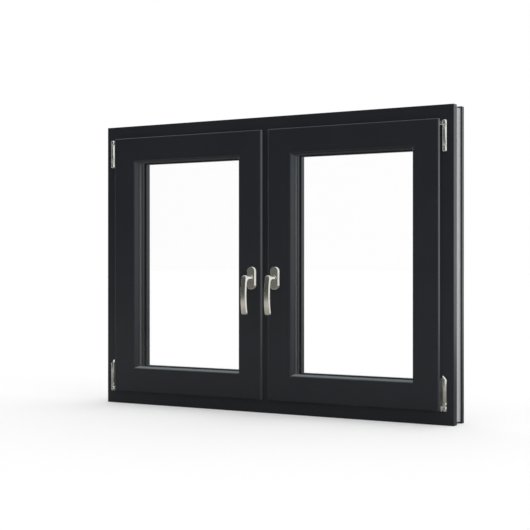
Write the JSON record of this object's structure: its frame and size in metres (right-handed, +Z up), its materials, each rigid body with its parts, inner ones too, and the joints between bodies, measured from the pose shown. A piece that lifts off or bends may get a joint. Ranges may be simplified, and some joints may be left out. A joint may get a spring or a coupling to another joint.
{
  "type": "pvc window",
  "caption": "Double-sash inward-opening window of dark laminated profiles with a central mullion, triple glazing, bevelled beads, turning lever handles and corner hinges.",
  "frame": {"origin": "at the middle of the width, in the plane of the frame's room face, level with the underside of the sill member", "axes": "+X to the right seen from the room, +Y from the room to outdoors, +Z up"},
  "size_m": [1.2, 0.1595, 0.9],
  "materials": {
    "frame_laminate": "satin foil over pvc",
    "sash_laminate": "satin foil over pvc",
    "bead_laminate": "satin foil over pvc",
    "cap_plastic": "moulded",
    "spacer_plastic": "matt",
    "seal_rubber": "matt",
    "glass": "clear",
    "handle_metal": "satin anodised",
    "hinge_metal": "satin"
  },
  "bodies": {
    "window": {"frame_sill": "frame_laminate", "frame_head": "frame_laminate", "frame_jamb_left": "frame_laminate", "frame_jamb_right": "frame_laminate", "mullion": "frame_laminate", "drainage_caps": "cap_plastic", "left_sash_top": "sash_laminate", "left_bead_top": "bead_laminate", "left_sash_bottom": "sash_laminate", "left_bead_bottom": "bead_laminate", "left_sash_hinge_side": "sash_laminate", "left_bead_hinge_side": "bead_laminate", "left_sash_handle_side": "sash_laminate", "left_bead_handle_side": "bead_laminate", "left_glass": "glass", "left_spacers": "spacer_plastic", "left_glazing_seals": "seal_rubber", "left_lap_seal": "seal_rubber", "left_stop_seal": "seal_rubber", "left_handle_rose": "handle_metal", "left_top_hinge_bearing": "hinge_metal", "left_top_hinge_leaf": "hinge_metal", "left_bottom_hinge_bearing": "hinge_metal", "left_bottom_hinge_leaf": "hinge_metal", "right_sash_top": "sash_laminate", "right_bead_top": "bead_laminate", "right_sash_bottom": "sash_laminate", "right_bead_bottom": "bead_laminate", "right_sash_hinge_side": "sash_laminate", "right_bead_hinge_side": "bead_laminate", "right_sash_handle_side": "sash_laminate", "right_bead_handle_side": "bead_laminate", "right_glass": "glass", "right_spacers": "spacer_plastic", "right_glazing_seals": "seal_rubber", "right_lap_seal": "seal_rubber", "right_stop_seal": "seal_rubber", "right_handle_rose": "handle_metal", "right_top_hinge_bearing": "hinge_metal", "right_top_hinge_leaf": "hinge_metal", "right_bottom_hinge_bearing": "hinge_metal", "right_bottom_hinge_leaf": "hinge_metal"},
    "left_lever": {"left_handle_lever": "handle_metal"},
    "right_lever": {"right_handle_lever": "handle_metal"}
  },
  "joints": [
    {"name": "left_handle_turn", "type": "hinge", "parent": "window", "child": "left_lever", "pos_m": [-0.0405, -0.027, 0.41], "axis": [0, 1, 0], "range_deg": [0, 180]},
    {"name": "right_handle_turn", "type": "hinge", "parent": "window", "child": "right_lever", "pos_m": [0.0405, -0.027, 0.41], "axis": [0, -1, 0], "range_deg": [0, 180]}
  ]
}
